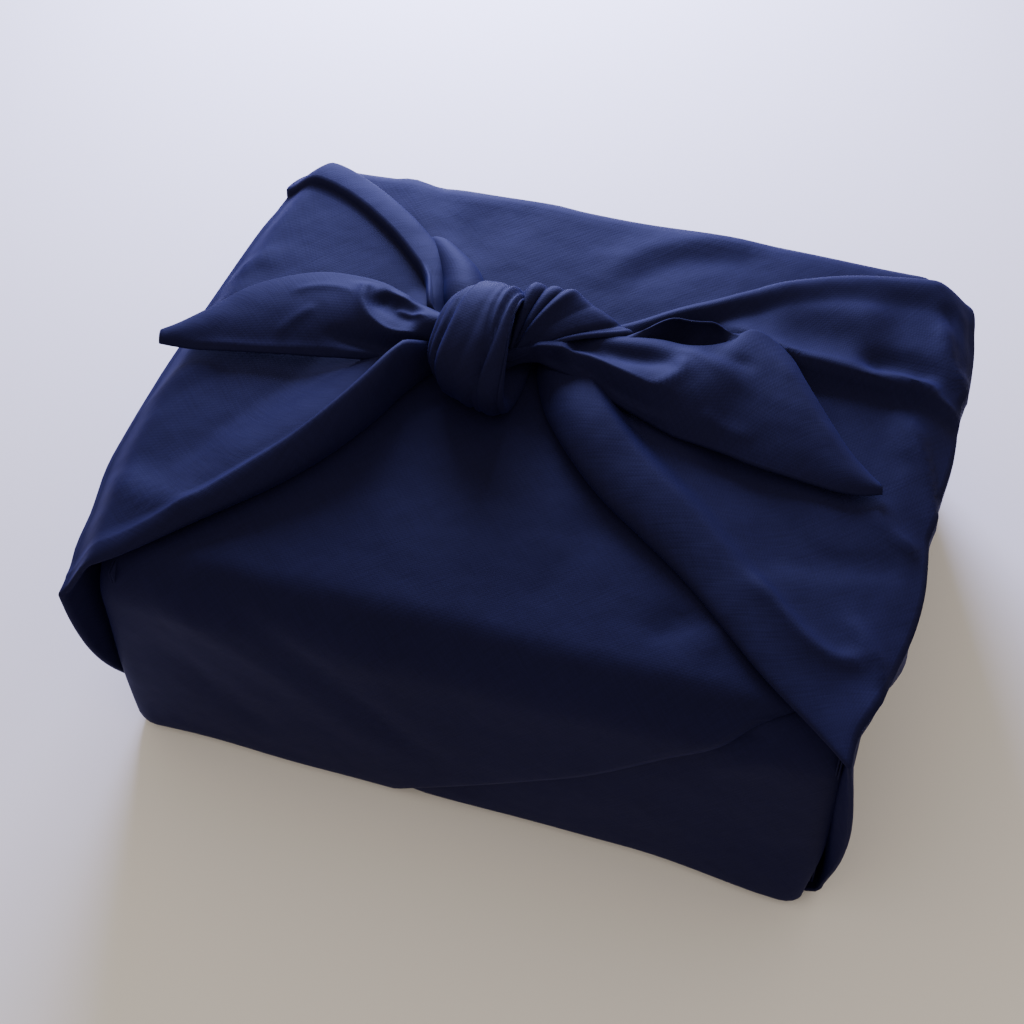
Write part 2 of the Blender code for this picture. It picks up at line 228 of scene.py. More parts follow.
def roundTheBox(step):
    # y, z and the outward direction on each stretch, from the front's foot up, over and down the back
    corners = (
        (box["front"], 0, box["groundRadius"], 270),
        (box["front"], box["frontHeight"], box["frontRadius"], 180),
        (box["back"], box["backHeight"], box["backRadius"], 90),
        (box["back"], 0, box["groundRadius"], 0),
    )
    arcs = []
    for y, z, radius, start in corners:
        middle = np.array((y - math.copysign(radius, y), z - radius if z else radius))
        turn = np.radians(start - np.linspace(0, 90, max(5, round(radius / 1.8))))
        out = np.stack([np.cos(turn), np.sin(turn)], axis=1)
        arcs.append(np.hstack([middle + radius * out, out]))
    road = []
    for arc, after in zip(arcs, arcs[1:] + arcs[:1]):
        road.append(arc)
        gap = np.linalg.norm(after[0, :2] - arc[-1, :2])
        shares = np.arange(1, round(gap / step)) / round(gap / step)
        road.append(between(arc[-1], after[0], shares[:, None]))
    names = "frontFoot", "front", "frontTop", "top", "backTop", "back", "backFoot", "ground"
    return dict(zip(names, road))


def endColumns(side, x):
    # the rounded end of a panel and its wing: x at each place of the road, and how far the end is drawn in
    turn = np.radians((20, 40, 60, 75, 90))
    reach, inset = box["endReach"] * np.sin(turn), box["endInset"] * (1 - np.cos(turn))
    columns = [(x + side * out, drawn) for out, drawn in zip(reach, inset)]
    return columns + [(x + side * reach[-1], box["endInset"] + wing) for wing in box["wing"]]


def wrapPanel(road, left, right, layer, rightEnd=True):
    # left and right: the panel's sides at each place of the road
    y, z, outY, outZ = road.T
    columns = endColumns(-1, left)[::-1]
    columns += [(between(left, right, share), 0) for share in np.linspace(0, 1, layer["columns"])]
    if rightEnd:
        columns += endColumns(1, right)
    limit = box["width"] / 2 - box["endReach"]
    middle = box["endMiddle"]
    grid = np.zeros((len(road), len(columns), 3))
    for index, (x, drawnIn) in enumerate(columns):
        arch = np.cos(np.pi * x / box["width"])
        swell = box["frontBulge"] * arch * np.sin(np.pi * np.clip(z / box["frontHeight"], 0, 1))
        crown = box["topBulge"] * arch * np.cos(np.pi * y / box["crownDepth"])
        lift = swell * np.abs(outY) + np.maximum(crown, 0) * np.maximum(outZ, 0) - layer["depth"]
        # folds and slack die out at the rounded ends
        inside = ramp(np.abs(x), limit + 8, limit - 2)
        lift += inside * foldHeight(x, y, topFolds) * softStep(outZ)
        lift += inside * foldHeight(x, z, frontFolds) * softStep(-outY)
        lift += inside * foldHeight(x, z, backFolds) * softStep(outY)
        lift += inside * unevenness(x, y + z, box["slackLength"], box["slack"], 3)
        lift -= box["endDip"] * ramp(np.abs(x), 100, 150) * np.maximum(outZ, 0)
        # the top front corner on the left and both back corners are drawn in
        shift = box["leftInset"] * ramp(z, 40, 115) * ramp(y, -60, -140) * ramp(x, -110, -175)
        shift -= box["backInset"] * ramp(y, 110, 146) * x / box["width"]
        # the front leans back towards its top, and its right foot comes forward
        flare = box["frontFlare"] * ramp(x, 80, 160) * ramp(z, 50, 0) * ramp(y, -100, -130)
        lean = box["frontLean"] * ramp(z, 0, box["frontHeight"]) * ramp(y, -70, -140)
        grid[:, index, 0] = x + shift
        grid[:, index, 1] = y + outY * lift + lean - flare
        grid[:, index, 2] = z + outZ * lift
        # the rounded ends are drawn towards the middle of the end's face
        grid[:, index, 1] -= drawnIn * np.clip(grid[:, index, 1] / 140, -1, 1)
        grid[:, index, 2] -= drawnIn * np.clip((grid[:, index, 2] - middle) / middle, -1, 1)
    grid[:, :, 2] = np.maximum(grid[:, :, 2], box["groundGap"])
    along = np.concatenate([[0], np.cumsum(np.hypot(np.diff(y), np.diff(z)))])
    threads = np.stack([grid[:, :, 0], np.broadcast_to(along[:, None], grid.shape[:2])], axis=-1)
    addPanel(grid, threads)


def makeOuterLayer():
    # tucked under the front, up the front, over the top, down the back and round its foot
    road = roundTheBox(outerLayer["step"])
    rows = outerLayer["tuckRows"]
    level = np.full(rows, outerLayer["tuckHeight"])
    tucked = np.stack([np.linspace(*outerLayer["tuck"], rows), level, np.zeros(rows), -np.ones(rows)], axis=1)
    rise = [tucked, road["frontFoot"], road["front"], road["frontTop"]]
    outer = np.vstack(rise + [road[name] for name in ("top", "backTop", "back", "backFoot")])
    y, z = outer.T[:2]
    full = box["width"] / 2 - box["endReach"]
    # its right side follows the cut edge on the front and reaches the box's end on the top and the back
    cutX, cutZ = np.array(cutEdge[::-1], float).T
    right = np.interp(z, cutZ, cutX)
    right = between(right, full, np.where(z > 100, ramp(y, -138, -108), 0))
    right = np.where(((y > -100) & (z > 5)) | (y > 100), full, right)
    right[:rows] = np.linspace(*outerLayer["tuckRight"], rows)
    left = np.full(len(outer), -full)
    split = sum(len(part) for part in rise) + outerLayer["openRows"]
    wrapPanel(outer[: split + 1], left[: split + 1], right[: split + 1], outerLayer, rightEnd=False)
    wrapPanel(outer[split:], left[split:], right[split:], outerLayer)


def makeInnerLayer():
    # round the back's foot, along the ground, up the front and over the top to its corner under the tie
    road = roundTheBox(innerLayer["step"])
    top = road["top"][:-innerLayer["hiddenRows"]]
    inner = np.vstack([
        road["backFoot"], road["ground"][::2], road["frontFoot"], road["front"], road["frontTop"], top])
    y, z = inner.T[:2]
    full = box["width"] / 2 - box["endReach"] - innerLayer["endGap"]
    low = ramp(z, 45, 0) * (y < -100)
    wrapPanel(inner, np.full(len(inner), -full), full - box["rightFoot"] * low, innerLayer)


makeOuterLayer()
makeInnerLayer()
print("box wrapped")


# side flaps: each side of the cloth goes up the box, over its edge, and is drawn together to the knot
# foot, corner and path: where a border leaves the ground, passes the box's corner and runs to the knot
# atCorner and atKnot: the border's roll as (crest from the edge, height, held inside, fall width)
# swell: share of the way from the front border to the back one, how far the top edge and the waist stand out
# crown: how far the flap arches between its borders, at the corner and at the knot
leftFlap = {
    "side": -1, "crown": (1, 2), "pleats": 2, "pleatDepth": 1.0, "columns": 38, "dive": 0.62,
    "swell": [(0, -1, 0), (0.03, -1, 0), (0.09, 4, 0), (0.16, 7.2, 0), (0.21, 10.8, 0), (0.25, 13, 0),
              (0.3, 14, 0), (0.47, 14.4, 0), (0.68, 11.4, 0), (0.78, 9.8, 0), (0.85, 8.2, 0), (0.9, 5.8, 0),
              (0.95, 4.5, 0), (1, 0, 0)],
    "front": {"foot": (-176, -124, 12), "corner": (-181, -148, 120), "sideBow": 9, "outBow": 0,
              "path": [(-173, -139), (-157, -126), (-132, -101), (-105, -74), (-88, -52), (-75, -29),
                       (-66, -6), (-58, 11), (-46, 20)],
              "atCorner": (10, 4, 0.75, 8), "atKnot": (24, 30, 0.3, 16), "face": 1.6, "fallShape": "ridge"},
    "back": {"foot": (-178, 130, 12), "corner": (-172, 138, 127), "sideBow": 2, "outBow": 0,
             "path": [(-156, 140), (-134, 131), (-111, 117), (-93, 103), (-78, 88), (-70, 70), (-60, 48),
                      (-46, 40)],
             "atCorner": (13, 4.5, 0, 4), "atKnot": (20, 9, 0, 4), "face": 2, "fallShape": "tuck"},
    "folds": [  # x and y, on top
        {"path": [(-178, 80), (-173, 90), (-167, 99), (-158, 104)],
         "width": 3.5, "height": 1.6, "crisp": 0.6},
        {"path": [(-188, 44), (-177, 55), (-170, 64), (-162, 68), (-148, 71)],
         "width": 4, "height": 2.4, "crisp": 0.7},
        {"path": [(-182, 60), (-170, 74), (-154, 80)], "width": 6, "height": -1.6, "crisp": 0},
        {"path": [(-184, 24), (-170, 34), (-150, 40)], "width": 7, "height": 1.4},
        {"path": [(-190, -82), (-172, -93), (-152, -97), (-128, -92)],
         "width": 7, "height": 2.4, "crisp": 0.5},
        {"path": [(-188, -70), (-167, -66), (-146, -48)], "width": 9, "height": -2.2},
        {"path": [(-192, -54), (-182, -30), (-166, -10), (-150, 2)], "width": 9, "height": 2.0},
    ],
    "sideFolds": [  # y and z
        {"path": [(-120, 118), (-90, 80), (-70, 30)], "width": 9, "height": -2.0},
        {"path": [(-95, 125), (-60, 95), (-40, 40)], "width": 10, "height": 2.0},
        {"path": [(20, 128), (40, 90), (44, 30)], "width": 9, "height": -1.8},
        {"path": [(90, 125), (70, 90), (66, 40)], "width": 8, "height": 1.8},
        {"path": [(-30, 12), (-10, 40), (0, 80)], "width": 10, "height": 1.5},
    ],
}

rightFlap = {
    "side": 1, "crown": (2, 3), "pleats": 2, "pleatDepth": 1.0, "columns": 60, "dive": 0.5,
    "swell": [(0, -1, 0), (0.055, -1, -10), (0.095, 1.3, -14), (0.13, 4, -15), (0.175, 7.5, -14),
              (0.25, 11.5, -10), (0.33, 12.5, -7), (0.41, 10.5, -5), (0.455, 9, -5), (0.54, 11, -4),
              (0.63, 12.5, -2), (0.7, 11, -1), (0.755, 6.5, 0), (0.8, 11.5, 0), (0.89, 9.6, 0),
              (0.96, 4.5, 0), (1, 0, 0)],
    "front": {"foot": (176, -137, 12), "corner": (174, -143, 135), "sideBow": 4, "outBow": 6,
              "path": [(160, -130), (132, -109), (94, -76), (66, -56), (44, -41), (25, -24), (7, -3),
                       (-3, 15), (-8, 28)],
              "atCorner": (24, 3, 0.6, 14), "atKnot": (26, 16, 0.05, 17), "face": 2.2, "fallShape": "soft"},
    "back": {"foot": (180, 126, 12), "corner": (180, 131, 128), "sideBow": 2, "outBow": 2,
             "path": [(170, 134), (148, 131), (125, 125), (104, 115), (82, 101), (62, 87), (42, 75),
                      (18, 60)],
             "atCorner": (6, 6, 0.5, 16), "atKnot": (6, 12, 0.2, 16), "face": 1.8, "fallShape": "soft"},
    "folds": [
        {"path": [(62, 78), (84, 70), (107, 62), (129, 61), (151, 59), (168, 60), (178, 56), (190, 51),
                  (198, 47)],
         "width": 11, "height": 5.5, "lean": 0.5, "crisp": 0.9, "fade": (0.2, 0.12)},
        {"path": [(84, 70), (107, 62), (129, 61), (151, 59), (168, 60), (178, 56), (190, 51), (198, 47)],
         "width": 4, "height": 3.2, "lean": 0.4, "crisp": 0.9, "fade": (0.2, 0.15)},
        {"path": [(110, 53), (140, 50), (166, 50), (182, 45)], "width": 6, "height": -2.2, "crisp": 0},
        {"path": [(84, 88), (108, 96), (132, 98), (156, 98)], "width": 14, "height": 3.5, "crisp": 0},
        {"path": [(138, 68), (152, 72), (166, 72), (178, 65)], "width": 7, "height": -4.5, "crisp": 0},
        {"path": [(174, 112), (178, 98), (182, 82), (187, 66), (190, 54)],
         "width": 4.2, "height": 3.2, "crisp": 0.5},
        {"path": [(172, 128), (180, 116), (185, 102), (188, 82), (190, 58)],
         "width": 4.5, "height": 2.8, "crisp": 0.4},
        {"path": [(172, 120), (180, 106), (184, 90), (188, 72)], "width": 4, "height": -2.6, "crisp": 0.3},
        {"path": [(184, 116), (190, 98), (192, 80), (192, 60)], "width": 4.5, "height": -2.2, "crisp": 0.2},
        {"path": [(172, 56), (184, 54), (196, 50)],
         "width": 6, "height": -3.0, "crisp": 0.3, "fade": (0.3, 0.02)},
        {"path": [(165, 52), (171, 39), (177, 27), (184, 9), (188, -12), (188, -24)],
         "width": 4, "height": 3.4, "crisp": 0.8, "lean": -0.3},
        {"path": [(165, 52), (163, 42), (167, 30), (174, 16)], "width": 3.5, "height": 1.6, "crisp": 0.7},
        {"path": [(180, 36), (187, 14), (191, -12)], "width": 5, "height": -2.0},
        {"path": [(158, -8), (163, -17), (171, -25), (180, -30), (188, -32)],
         "width": 4, "height": 2.6, "crisp": 0.7},
        {"path": [(132, -50), (153, -48), (166, -44), (182, -44)], "width": 6, "height": -2.2},
        {"path": [(112, -58), (128, -74), (144, -88), (156, -95), (168, -94), (178, -82)],
         "width": 5, "height": 3.6, "crisp": 0.7},
        {"path": [(158, -70), (168, -80), (177, -94), (180, -112), (178, -134)],
         "width": 4, "height": 3.2, "crisp": 0.8},
        {"path": [(70, 10), (96, -10), (124, -40), (140, -66)], "width": 14, "height": -3.0, "crisp": 0},
    ],
    "sideFolds": [
        {"path": [(66, 122), (60, 90), (60, 40)], "width": 8, "height": 2.6},
        {"path": [(52, 126), (46, 96), (50, 56)], "width": 6, "height": -3.0},
        {"path": [(-20, 130), (-8, 96), (0, 60)], "width": 6, "height": 2.4},
        {"path": [(-44, 126), (-36, 90), (-24, 50)], "width": 7, "height": -2.2},
        {"path": [(-72, 128), (-84, 96), (-110, 60)], "width": 7, "height": 2.6},
        {"path": [(-92, 128), (-106, 100), (-126, 74)], "width": 5, "height": -2.2},
        {"path": [(40, 14), (20, 40), (10, 80)], "width": 9, "height": 1.6},
    ],
}


# the flaps' grid: rows up the side, round the box's edge and on to the knot; sizes are in mm
flapGrid = {
    "sideRows": 22, "edgeRows": 10, "topRows": 52, "edgeShare": 0.1,
    "gap": 0.4, "clearance": 1.3,  # height of the cloth turned under, and of the face above that
    "turnedUnder": 60, "seat": 2,  # how wide the cloth is turned under, and how high it lies on the top panel
    "turnIn": [(26, 11.6), (14, 11.5), (6, 10.6), (2.2, 8.6), (0.5, 5)],  # below the foot: in, down
    "lowest": 1.2,
}


def borderSection(roll, face, under):
    # distance from the border's edge and height, from the cloth turned under, round the edge, to the crest
    crest, height = roll[:2]
    gap = flapGrid["gap"]
    low = gap + 0.38 * (height - gap)
    nose = min(0.45 * crest, 0.6 * height + 0.5)
    turn = np.radians(np.linspace(0, 90, 5)[1:])
    rise = np.radians(np.linspace(0, 90, 11)[1:])
    under = np.linspace(under, nose, 6)
    distance = [under, nose * (1 - np.sin(turn)), crest * (1 - np.cos(rise) ** (2 / face))]
    upTo = low + (height - low) * np.sin(rise) ** (2 / face)
    level = [np.full(len(under), gap), low - (low - gap) * np.cos(turn), upTo]
    return np.concatenate(distance), np.concatenate(level)


fallShapes = {
    "soft": lambda step: 1 - softStep(step),
    "ridge": lambda step: (1 - step) ** 1.6,
    "tuck": lambda step: np.sqrt(1 - step**2.4),
}


def rollTail(distance, roll, fallShape):
    # how high a rolled border still holds the cloth up inside its crest
    crest, height, held, fall = roll
    drop = fallShapes[fallShape](np.clip((distance - crest) / fall, 0, 1))
    end = crest + fall
    return height * (held + (1 - held) * drop) * (1 - ramp(distance, end, 4 * end))


def borderPlace(border, sidePart, topPart):
    foot, corner = np.array(border["foot"], float), np.array(border["corner"], float)
    if topPart is None:
        place = between(foot, corner, sidePart)
        place[1] += math.copysign(border["sideBow"], corner[1]) * math.sin(math.pi * sidePart)
        place[0] += math.copysign(border["outBow"], corner[0]) * math.sin(math.pi * sidePart)
        return place
    path = curveThrough([border["corner"][:2]] + border["path"], 161)
    x, y = (np.interp(topPart, np.linspace(0, 1, len(path)), column) for column in path.T)
    return np.array((x, y, between(corner[2], panelHeight(y) + flapGrid["seat"], ramp(topPart, 0, 0.08))))


def flapRow(flap, swell, sidePart, topPart):
    # the places from the front border to the back one, at a share of the way up the side or over the top
    side = flap["side"]
    borders = flap["front"], flap["back"]
    front, back = (borderPlace(border, sidePart, topPart) for border in borders)
    width = np.linalg.norm(back - front)
    # lean is the way the cloth faces, 0 outwards and 90 up, and standing is how far the borders' rolls stand
    onTop = topPart is not None
    if onTop:
        lean = 90 * ramp(topPart, -0.1, 0.1)
        swollen, waist, standing = 1 - ramp(topPart, 0, 0.22), 0, 1
        gather = softStep(topPart)
        dive = 1 - flap["dive"] * ramp(topPart, 0.74, 0.98)
    else:
        lean = 45 * ramp(sidePart, 0.8, 1)
        swollen, waist = ramp(sidePart, 0.35, 1), math.sin(math.pi * sidePart)
        standing = 0.35 + 0.65 * softStep(sidePart)
        gather, dive = 0, 1
    rolls = [between(np.array(border["atCorner"]), np.array(border["atKnot"]), gather) for border in borders]
    rolls = [roll * (1, standing, 1, 1) for roll in rolls]
    # near the knot both rolls narrow to fit, and dive under the tie
    fit = min(1, 0.8 * width / sum(roll[0] + roll[3] for roll in rolls))
    rolls = [roll * (fit, dive, 1, fit) for roll in rolls]
    under = min(0.47 * width, flapGrid["turnedUnder"])
    (frontRun, frontRise), (backRun, backRise) = (
        borderSection(roll, border["face"], under) for roll, border in zip(rolls, borders))
    # columns: close together down each roll's inner side, and evenly spaced between the rolls
    frontFall, backFall = (np.linspace(roll[0], roll[0] + roll[3], 9)[1:] for roll in rolls)
    inner = np.linspace(frontFall[-1], width - backFall[-1], flap["columns"])[1:-1]
    inside = np.concatenate([frontFall, inner, width - backFall[::-1]])
    held = rollTail(inside, rolls[0], flap["front"]["fallShape"])
    held += rollTail(width - inside, rolls[1], flap["back"]["fallShape"])
    fromFront = np.concatenate([frontRun, inside, width - backRun[::-1]])
    height = np.concatenate([frontRise, held, backRise[::-1]])
    share = np.clip(fromFront / width, 0, 1)
    # the face is free to move, and the cloth turned under stays flat
    index, last = np.arange(len(share)), len(share) - 1
    free = ramp(index, 8, 16) * ramp(index, last - 8, last - 16)
    crown = between(flap["crown"][0], flap["crown"][1], gather)
    height = height + free * np.sin(np.pi * share) ** 0.8 * crown
    lean = math.radians(lean)
    out = np.array((side * math.cos(lean), 0, math.sin(lean)))
    base = front + (back - front) * (fromFront / width)[:, None]
    base[:, 0] += side * free * swollen * np.interp(share, swell[0], swell[1])
    base[:, 0] += side * waist * np.interp(share, swell[0], swell[2])
    x, y, z = (base + height[:, None] * out).T
    # creases and slack: those of the side give way to those of the top over the box's edge
    onSide = 1 - ramp(lean, 0.15, 0.7)
    slack = (1 - onSide) * (foldHeight(x, y, flap["folds"]) + unevenness(x, y, 80, 0.3, 11))
    slack += onSide * (foldHeight(y, z, flap["sideFolds"]) + unevenness(y, z, 80, 0.6, 12))
    if onTop:
        # pleats run in towards the knot
        pleat = np.sin(2 * np.pi * flap["pleats"] * share + 0.6 * np.sin(5 * share))
        slack += ramp(topPart, 0.45, 0.95) * flap["pleatDepth"] * pleat
    else:
        slack *= ramp(sidePart, 0, 0.2)
    lifted = np.maximum(height + free * slack, free * (flapGrid["gap"] + flapGrid["clearance"]))
    return base + lifted[:, None] * out


def makeFlap(flap):
    swell = curveThrough(flap["swell"], 121).T
    edge = flapGrid["edgeShare"]
    rows = [(part, None) for part in np.linspace(0, 0.95, flapGrid["sideRows"])]
    rows += [(None, part) for part in np.linspace(0, edge, flapGrid["edgeRows"])[:-1]]
    rows += [(None, part) for part in np.linspace(edge, 1, flapGrid["topRows"])]
    grid = [flapRow(flap, swell, sidePart, topPart) for sidePart, topPart in rows]
    # below the foot the cloth turns in under the box
    turned = []
    for run, drop in flapGrid["turnIn"]:
        lower = grid[0].copy()
        lower[:, 0] -= flap["side"] * run
        lower[:, 2] = np.maximum(grid[0][:, 2] - drop, flapGrid["lowest"])
        turned.append(lower)
    addPanel(np.array(turned + grid), flip=flap["side"] > 0)


makeFlap(leftFlap)
makeFlap(rightFlap)


# the cloth left over at the box's upright corners, folded in flat under the flaps
ears = {"front": -134, "back": 138, "bottom": 4, "top": 127, "layers": (171.6, 170.4), "leftInset": 9}


def makeEarFolds(side):
    depth, height = np.linspace(ears["front"], ears["back"], 12), np.linspace(ears["bottom"], ears["top"], 8)
    for reach in ears["layers"]:
        y, z = np.meshgrid(depth, height, indexing="ij")
        x = np.full(y.shape, side * reach)
        if side < 0:
            x += ears["leftInset"] * ramp(z, 40, 115) * ramp(y, -60, -140)
        addPanel(np.stack([x, y, z], axis=-1), flip=side < 0)


makeEarFolds(-1)
makeEarFolds(1)
print("side flaps drawn over")


# the knot: gathered lobes; rings are the left edge x, y, z, the right edge x, y, z and how far it swells
# creases: where round the lobe at its start and its end, depth, width
# the place is in degrees from the lobe's right edge over its outside
knotLobes = {
    "core": {"creases": [], "rings": [
        (-60, 34, 140, -60, 18, 140, 5), (-46, 37, 142, -46, 13, 142, 8), (-32, 36, 142, -32, 13, 142, 8),
        (-20, 31, 140, -20, 18, 140, 5)]},
    "wrap": {
        "creases": [
            (146, 100, 2.4, 1.5), (160, 126, 1.0, 1.2), (128, 92, -1.2, 4), (88, 18, 2.8, 1.8),
            (112, 52, 0.8, 2.2), (64, 48, 2.0, 1.3), (34, 0, 2.4, 1.8), (78, 34, -0.8, 2)],
        "rings": [
            (-44, 34, 138, -12, 34, 138, 5),
            (-44, 24, 138, -11, 16, 138, 6),
            (-48, 13, 140, -12, 1, 139, 7),
            (-52, 8, 145, -13, -8, 145, 8),
            (-57, 12, 153, -14, -8, 156, 9),
            (-57, 24, 159, -16, 6, 166, 9),
            (-56, 36, 159, -19, 26, 171, 9),
            (-54, 45, 154, -20, 42, 168, 9),
            (-52, 50, 146, -20, 52, 157, 8),
            (-50, 48, 139, -20, 52, 144, 7),
            (-48, 42, 137, -20, 44, 137, 5)]},
    "leaf": {"creases": [(120, 95, -1.5, 4), (60, 70, 1.2, 2)], "rings": [
        (-93, 103, 133, -88, 103, 133, 2), (-87, 95, 136, -78, 100, 136, 5), (-80, 84, 137, -66, 91, 137, 8),
        (-72, 70, 138, -54, 80, 138, 10), (-67, 58, 139, -46, 66, 139, 11), (-60, 46, 141, -42, 52, 141, 9)]},
}


def makeLobe(lobe):
    rings = 36
    rows = curveThrough(lobe["rings"], rings)
    left, right = rows[:, :3], rows[:, 3:6]
    places = (left + right) / 2
    runs = np.gradient(places, axis=0)
    # once round, in fine steps outside and coarse steps where the lobe isn't seen
    angle = np.concatenate([np.linspace(-10, 190, 51)[:-1], np.linspace(190, 350, 11)[:-1]])
    grid = []
    for index, (place, run, half, swell) in enumerate(zip(places, runs, (right - left) / 2, rows[:, 6])):
        wide = np.linalg.norm(half)
        rise = np.cross(half, run)
        rise /= np.linalg.norm(rise)
        way = index / (rings - 1)
        x, y = np.cos(np.radians(angle)), swell * np.sin(np.radians(angle))
        for start, end, depth, width in lobe["creases"]:
            away = np.abs(angle - between(start, end, softStep(way))) * np.pi / 180 * wide
            y = y - depth * np.exp(-((away / width) ** 1.3)) * math.sin(math.pi * way) ** 0.5
        grid.append(place + x[:, None] * half + y[:, None] * rise)
    addPanel(np.array(grid), closed=True, flip=True)


for lobe in knotLobes.values():
    makeLobe(lobe)

# the cloth beside the wrap opens like a fan: spokes from its root over a crest and down behind
fan = {
    "root": (-20, 18, 149), "arch": 5, "columns": 64, "rows": 40,
    "spokes": [  # crest x, y, z, then end x, y, z
        (-27, 53, 160, -30, 66, 134), (-20, 57, 162, -20, 71, 134), (-10, 59, 162, -8, 72, 134),
        (4, 57, 159, 8, 69, 134), (18, 52, 155, 26, 60, 138), (31, 47, 151, 35, 49, 147)],
    # pleats and ridges between the spokes: where (0 first spoke, 1 last), depth or height, width
    "pleats": [(0.08, 3.4, 0.035), (0.25, 2.6, 0.03), (0.38, 1.6, 0.025), (0.62, 0.6, 0.05),
               (0.86, 1.6, 0.03)],
    "ridges": [(0.16, 0.8, 0.03), (0.46, 2.2, 0.06), (0.97, 1.5, 0.03)],
}


def makeFan():
    root = np.array(fan["root"], float)
    spokes = curveThrough(fan["spokes"], fan["columns"])
    grid = []
    for index, spoke in enumerate(spokes):
        turn = index / (len(spokes) - 1)
        crest, end = spoke[:3], spoke[3:]
        middle = between(root, crest, 0.5) + (0, 0, fan["arch"])
        line = curveThrough([root, middle, crest, between(crest, end, 0.5) + (0, 1.5, 1.5), end], fan["rows"])
        way = np.linspace(0, 1, len(line))
        lift = 0
        for sign, rows in ((-1, fan["pleats"]), (1, fan["ridges"])):
            for at, depth, width in rows:
                lift += sign * depth * math.exp(-abs((turn - at) / width) ** 1.4)
        spread = np.sqrt(np.sin(np.pi * np.clip(way / 1.1, 0, 1)))
        line[:, 2] += lift * spread
        line[:, 1] += 0.4 * lift * spread * ramp(way, 0, 0.5)
        grid.append(line)
    addPanel(np.array(grid))


makeFan()


# the free ends: each a leaf of cloth folded double; sections are the lower and the upper edge and the arch
tailGrid = {"rows": 78, "columns": 40, "layerGap": 1.6, "fold": 0.8}  # fold: how far its edge stands out

leftTail = {
    "sections": [  # lower x, y, z, upper x, y, z, arch
        (-40, 22, 147, -42, 38, 150, 10),
        (-52, 22, 147, -56, 39, 151, 9),
        (-62, 18, 146, -68, 40, 152, 8),
        (-74, 12, 145, -80, 44, 153, 7),
        (-88, 7, 144, -94, 49, 153, 6),
        (-104, 4, 144, -110, 51, 152, 6),
        (-122, 1, 144, -128, 51, 150, 5),
        (-142, -2, 143, -146, 45, 148, 4),
        (-158, -5, 143, -162, 34, 147, 3),
        (-172, -7, 142, -176, 18, 145, 3),
        (-184, -9, 143, -187, 4, 145, 2),
        (-192, -10, 144, -194, -3, 145, 1),
    ],
    "folds": [
        {"path": [(-100, 48), (-100, 38), (-96, 30), (-88, 23), (-78, 20), (-60, 23)],
         "width": 3.5, "height": 3.4, "crisp": 0.7, "fade": (0.08, 0.2), "lean": -0.3},
        {"path": [(-95, 41), (-86, 36), (-76, 32), (-64, 32)], "width": 6, "height": -5, "crisp": 0,
         "fade": (0.2, 0.3)},
        {"path": [(-92, 46), (-84, 42), (-74, 40), (-60, 38)], "width": 2.5, "height": 2.2, "crisp": 0.6},
        {"path": [(-80, 44), (-74, 41), (-66, 40), (-56, 38)], "width": 1.8, "height": -2.4, "crisp": 0.6},
        {"path": [(-84, 34), (-74, 32), (-64, 32)], "width": 2.2, "height": 2.4, "crisp": 0.6},
        {"path": [(-140, 33), (-126, 39), (-112, 40), (-102, 36)], "width": 3, "height": 1.0, "crisp": 0.7},
        {"path": [(-137, 6), (-130, 17), (-120, 28)], "width": 3, "height": 0.9, "crisp": 0.7},
        {"path": [(-118, 12), (-98, 14), (-80, 14), (-58, 18)],
         "width": 4, "height": -3.5, "fade": (0.4, 0.1)},
        {"path": [(-112, 3), (-92, 8), (-76, 11), (-60, 16)],
         "width": 2.5, "height": 1.6, "fade": (0.4, 0.1)},
        {"path": [(-188, -7), (-150, -1), (-110, 6), (-80, 14)], "width": 2.5, "height": 0.7},
    ],
    "opening": [],
}

